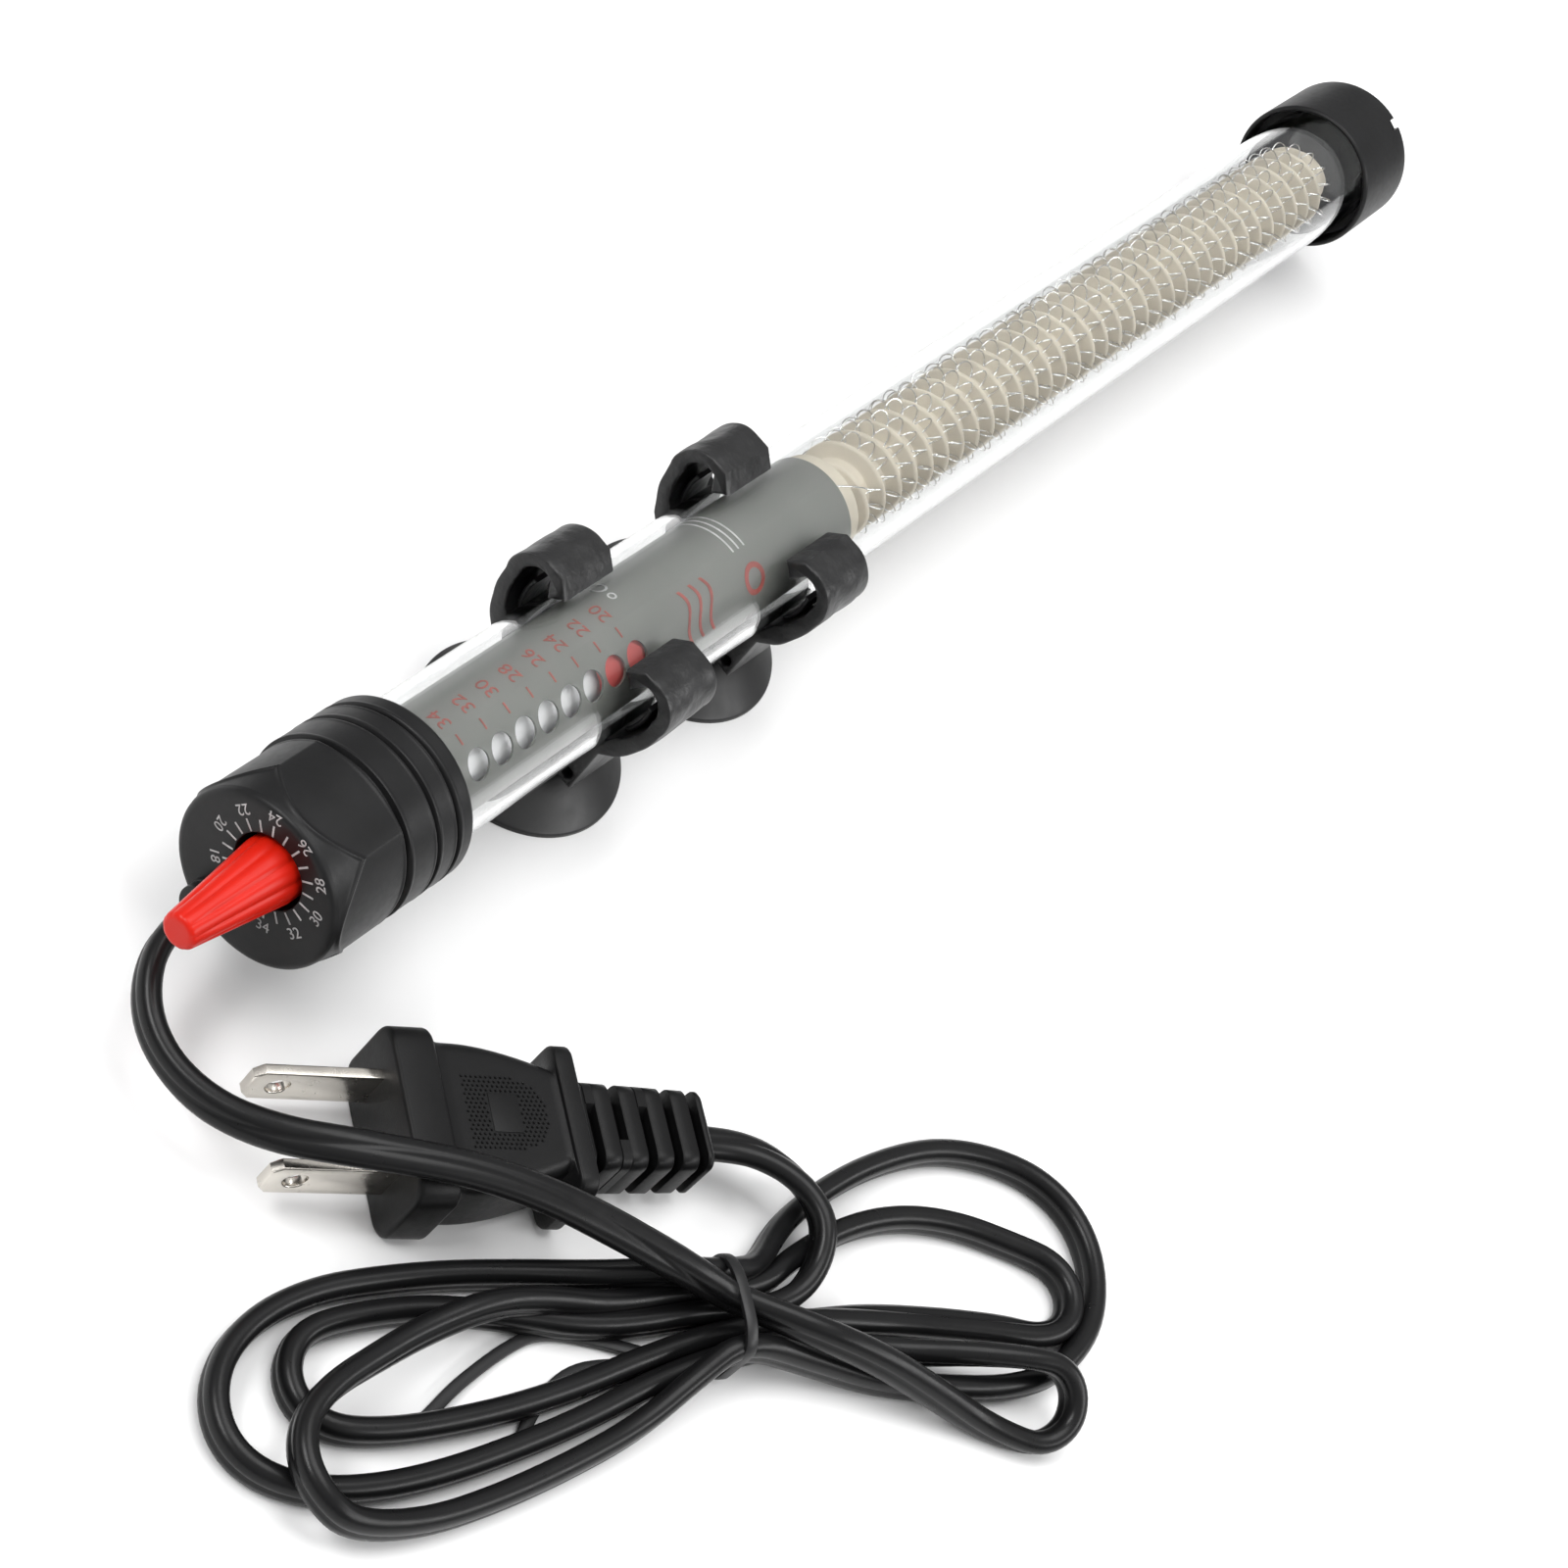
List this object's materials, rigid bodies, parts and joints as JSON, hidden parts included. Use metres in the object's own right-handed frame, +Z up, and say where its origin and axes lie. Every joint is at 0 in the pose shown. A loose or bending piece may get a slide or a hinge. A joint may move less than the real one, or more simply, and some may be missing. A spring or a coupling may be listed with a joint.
{
  "type": "submersible aquarium heater",
  "caption": "Glass-tube aquarium heater with a dial thermostat, ceramic element, sliding suction-cup clips, a flat cord tied in a hank and a two-blade plug.",
  "frame": {"origin": "under the middle of the heater's length, on the plane of the suction cups' rims", "axes": "+X along the glass tube from the dial head to the end cap, +Z up from the cups' rims"},
  "size_m": [0.345, 0.1372, 0.0339],
  "materials": {
    "black_rubber": "matt moulded rubber",
    "red_plastic": "satin moulded plastic",
    "clear_glass": "clear polished borosilicate glass",
    "grey_sleeve": "satin film, printed",
    "white_plastic": "plain white strip",
    "ceramic": null,
    "steel": "plain sheet steel",
    "brass": "plain brass",
    "resistance_wire": "bright drawn resistance wire",
    "lamp_glass": "small clear lamp",
    "wire_insulation": "woven glass sleeving",
    "cord_pvc": "satin extruded PVC",
    "tie_plastic": "plastic-covered wire tie",
    "plug_plastic": "moulded PVC, fine grain",
    "nickel": "nickel plated, satin"
  },
  "bodies": {
    "heater": {"head_cap": "black_rubber", "cord_gland": "black_rubber", "spindle_seal": "black_rubber", "glass_tube": "clear_glass", "tube_stopper": "black_rubber", "label_sleeve": "grey_sleeve", "window_backing": "white_plastic", "thermostat_frame": "steel", "spindle_bracket": "steel", "bimetal_block": "brass", "fixed_contact": "brass", "contact_arm": "brass", "contact_block": "brass", "snap_magnet": "steel", "indicator_lamp": "lamp_glass", "lamp_resistor": "ceramic", "lead_wire_live": "wire_insulation", "lead_wire_neutral": "wire_insulation", "insulator_disc": "ceramic", "ceramic_former": "ceramic", "heating_coil": "resistance_wire", "end_cap": "black_rubber", "end_cushion": "black_rubber", "cord_lead": "cord_pvc", "cord_tail": "cord_pvc", "cord_hank": "cord_pvc", "hank_tie": "tie_plastic", "plug_body": "plug_plastic", "plug_blade_left": "nickel", "plug_blade_right": "nickel"},
    "knob": {"adjusting_knob": "red_plastic", "spindle": "steel"},
    "indicator": {"temperature_indicator": "red_plastic"},
    "bimetal": {"bimetal_strip": "steel", "moving_contact": "brass"},
    "clip_front": {"clip_front": "black_rubber"},
    "clip_rear": {"clip_rear": "black_rubber"},
    "cup_front": {"cup_front": "black_rubber"},
    "cup_rear": {"cup_rear": "black_rubber"}
  },
  "joints": [
    {"name": "knob_turn", "type": "hinge", "parent": "heater", "child": "knob", "pos_m": [-0.1415, -0.0006, 0.0242], "axis": [1, 0, 0], "range_deg": [-88.5, 194.7]},
    {"name": "indicator_slide", "type": "slide", "parent": "heater", "child": "indicator", "axis": [1, 0, 0], "range_m": [-0.0273, 0.0124]},
    {"name": "bimetal_bend", "type": "hinge", "parent": "heater", "child": "bimetal", "pos_m": [-0.0977, 0, 0.0197], "axis": [0, 1, 0], "range_deg": [0, 1.8], "stiffness_Nm_per_rad": 0.05, "springref_deg": -0.57},
    {"name": "clip_front_slide", "type": "slide", "parent": "heater", "child": "clip_front", "axis": [1, 0, 0], "range_m": [-0.035, 0.003]},
    {"name": "clip_rear_slide", "type": "slide", "parent": "heater", "child": "clip_rear", "axis": [1, 0, 0], "range_m": [-0.003, 0.1685]},
    {"name": "cup_front_turn", "type": "hinge", "parent": "clip_front", "child": "cup_front", "pos_m": [-0.0725, 0, 0], "axis": [0, 0, 1], "continuous": true},
    {"name": "cup_rear_turn", "type": "hinge", "parent": "clip_rear", "child": "cup_rear", "pos_m": [-0.0342, 0, 0], "axis": [0, 0, 1], "continuous": true}
  ],
  "couplings": [
    {"joint": "indicator_slide", "follows": "knob_turn", "m_per_rad": -0.00796}
  ]
}
